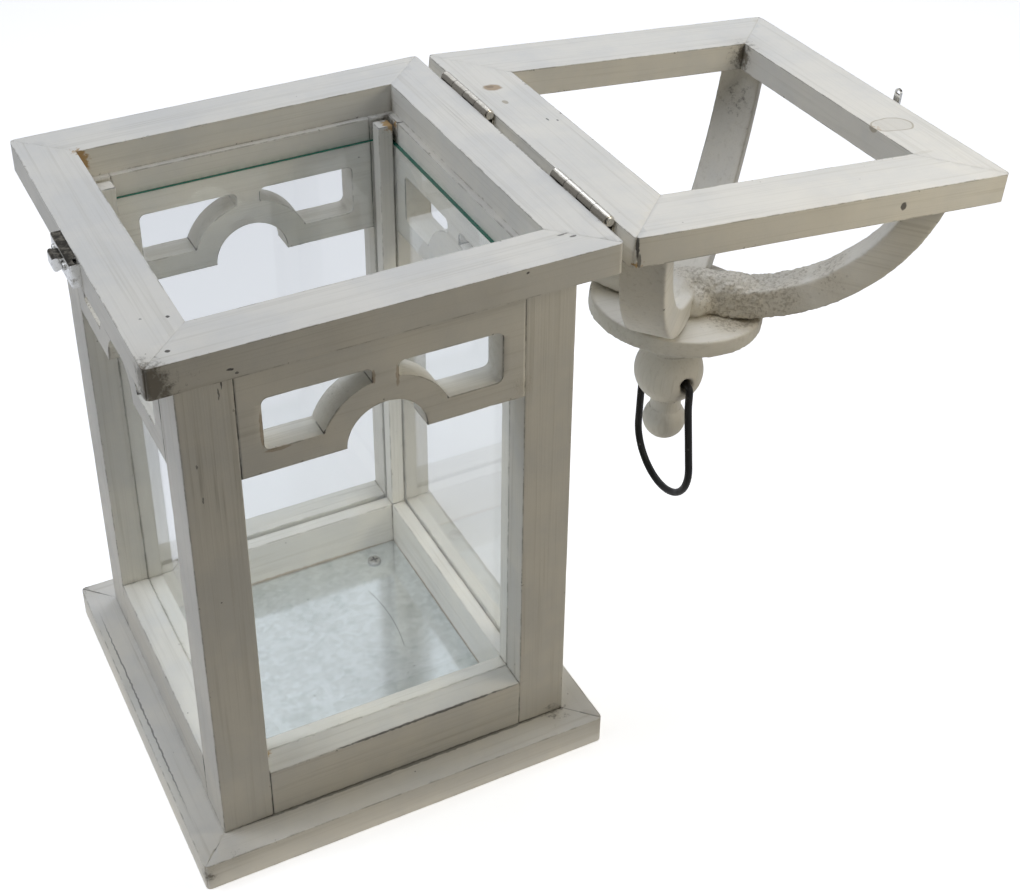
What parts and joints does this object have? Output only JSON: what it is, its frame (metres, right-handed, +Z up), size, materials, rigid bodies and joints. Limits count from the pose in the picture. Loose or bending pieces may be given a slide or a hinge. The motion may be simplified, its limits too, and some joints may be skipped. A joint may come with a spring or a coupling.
{
  "type": "hanging lantern",
  "caption": "Square wooden candle lantern with glass sides, pierced frets, a hinged lid with curved arms and finial, and a wire hanging ring.",
  "frame": {"origin": "centre of the base's underside", "axes": "+Z up, -Y the front fret's side, +X towards the hinges and the open lid"},
  "size_m": [0.4154, 0.202, 0.2846],
  "materials": {
    "painted_wood": "worn off-white paint",
    "bare_wood": "bare",
    "galvanised_sheet": "galvanised spangle",
    "clear_glass": "clear float glass",
    "nickel_hardware": "bright nickel plate",
    "steel_fixings": "zinc plated",
    "black_wire": "satin black"
  },
  "bodies": {
    "lantern_body": {"base_panel": "painted_wood", "floor_sheet": "galvanised_sheet", "body_screws": "steel_fixings", "carcass_nails": "steel_fixings", "hinge_pins": "nickel_hardware", "latch_body": "nickel_hardware", "latch_pin": "nickel_hardware", "latch_spring": "steel_fixings", "base_board_front": "painted_wood", "bottom_rail_front": "painted_wood", "fret_front": "painted_wood", "inner_ledge_front": "painted_wood", "glass_front": "clear_glass", "top_rail_front": "painted_wood", "base_board_right": "painted_wood", "bottom_rail_right": "painted_wood", "fret_right": "painted_wood", "inner_ledge_right": "painted_wood", "glass_right": "clear_glass", "top_rail_right": "painted_wood", "base_board_back": "painted_wood", "bottom_rail_back": "painted_wood", "fret_back": "painted_wood", "inner_ledge_back": "painted_wood", "glass_back": "clear_glass", "top_rail_back": "painted_wood", "base_board_left": "painted_wood", "bottom_rail_left": "painted_wood", "fret_left": "painted_wood", "inner_ledge_left": "painted_wood", "glass_left": "clear_glass", "top_rail_left": "painted_wood", "post_front_right": "painted_wood", "corner_bead_front_right": "painted_wood", "post_back_right": "painted_wood", "corner_bead_back_right": "painted_wood", "post_back_left": "painted_wood", "corner_bead_back_left": "painted_wood", "post_front_left": "painted_wood", "corner_bead_front_left": "painted_wood", "hinge_leaf_frame_front": "nickel_hardware", "hinge_leaf_frame_back": "nickel_hardware"},
    "lid": {"lid_screws": "steel_fixings", "lid_nails": "steel_fixings", "latch_hook": "nickel_hardware", "crown_disc": "painted_wood", "finial": "painted_wood", "finial_dowel": "bare_wood", "lid_rail_front": "painted_wood", "lid_rail_outer": "painted_wood", "lid_rail_back": "painted_wood", "lid_rail_hinge": "painted_wood", "arm_front_outer": "painted_wood", "arm_back_outer": "painted_wood", "arm_back_hinge": "painted_wood", "arm_front_hinge": "painted_wood", "hinge_leaf_lid_front": "nickel_hardware", "hinge_leaf_lid_back": "nickel_hardware"},
    "latch_lever": {"latch_lever": "nickel_hardware"},
    "ring": {"ring": "black_wire"}
  },
  "joints": [
    {"name": "lid_hinge", "type": "hinge", "parent": "lantern_body", "child": "lid", "pos_m": [0.10283, 0, 0.28215], "axis": [0, -1, 0], "range_deg": [0, 185.29]},
    {"name": "latch_lever_pivot", "type": "hinge", "parent": "lantern_body", "child": "latch_lever", "pos_m": [-0.1024, -0.0066, 0.2729], "axis": [0, -1, 0], "range_deg": [0, 8], "stiffness_Nm_per_rad": 0.01},
    {"name": "ring_swing", "type": "hinge", "parent": "lid", "child": "ring", "pos_m": [0.19326, 0, 0.12924], "axis": [0, -1, 0], "range_deg": [-115, 115]}
  ]
}
